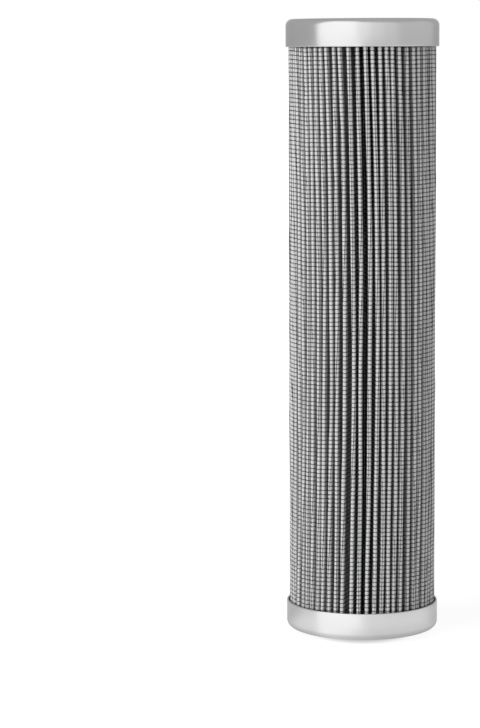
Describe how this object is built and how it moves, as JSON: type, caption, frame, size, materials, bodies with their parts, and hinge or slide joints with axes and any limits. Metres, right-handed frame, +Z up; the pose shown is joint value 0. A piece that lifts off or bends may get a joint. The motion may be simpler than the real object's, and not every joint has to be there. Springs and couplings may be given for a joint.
{
  "type": "pleated filter element",
  "caption": "Cylindrical pleated filter element with pressed steel end caps, one closed and one with a sealed bore, for hydraulic oil.",
  "frame": {"origin": "middle of the floor under the element, on which the open end's collar stands", "axes": "+Z up along the element's axis, from the open end to the closed end"},
  "size_m": [0.052, 0.052, 0.2105],
  "materials": {
    "cap_steel": "tin-plated pressed sheet, satin with a soft sheen",
    "core_steel": "plain rolled sheet, dull",
    "mesh_wire": "dark grey epoxy-coated wire cloth",
    "glass_fibre": "white glass fibre felt, matt",
    "adhesive": "cured adhesive, dull",
    "rubber": "moulded black rubber"
  },
  "bodies": {
    "root": {"closed_end_cap": "cap_steel", "open_end_cap": "cap_steel", "core_tube": "core_steel", "outer_mesh": "mesh_wire", "filter_media": "glass_fibre", "end_potting": "adhesive", "seal_ring": "rubber"}
  },
  "joints": []
}
